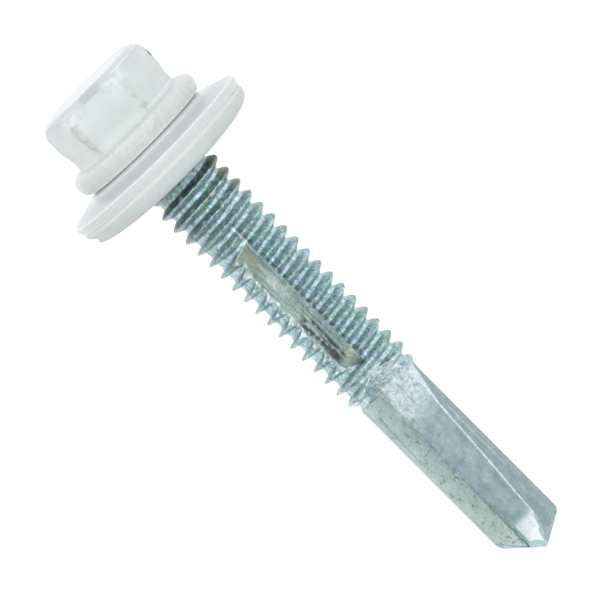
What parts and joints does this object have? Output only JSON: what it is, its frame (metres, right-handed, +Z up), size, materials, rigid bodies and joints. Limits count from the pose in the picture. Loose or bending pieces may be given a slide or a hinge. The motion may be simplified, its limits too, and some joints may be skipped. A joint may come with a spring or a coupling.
{
  "type": "self drilling screw",
  "caption": "Hex washer head self drilling screw with a captive dished sealing washer, a fine helical thread with a chip slot, and a long fluted drill point, lying on its side.",
  "frame": {"origin": "centre of the bounding box on the surface that the screw lies on", "axes": "+Z up, +X along the floor from the head to the drill point, +Y to the side; the screw's own axis dips 9.5 degrees below +X because it lies on the washer's rim and on the two edges of a flute"},
  "size_m": [0.042, 0.0142, 0.0141],
  "materials": {
    "zinc_plating": "satin blue-green passivated zinc, rough as plated",
    "white_paint": "semi-gloss powder coat, a little lumpy",
    "grey_rubber": "smooth matte pale grey rubber"
  },
  "bodies": {
    "screw": {"screw": "zinc_plating"},
    "washer": {"washer_plate": "white_paint", "washer_seal": "grey_rubber"}
  },
  "joints": [
    {"name": "washer_spin", "type": "hinge", "parent": "screw", "child": "washer", "pos_m": [-0.01527, 0, 0.00727], "axis": [0.9863, 0, -0.1651], "continuous": true}
  ]
}
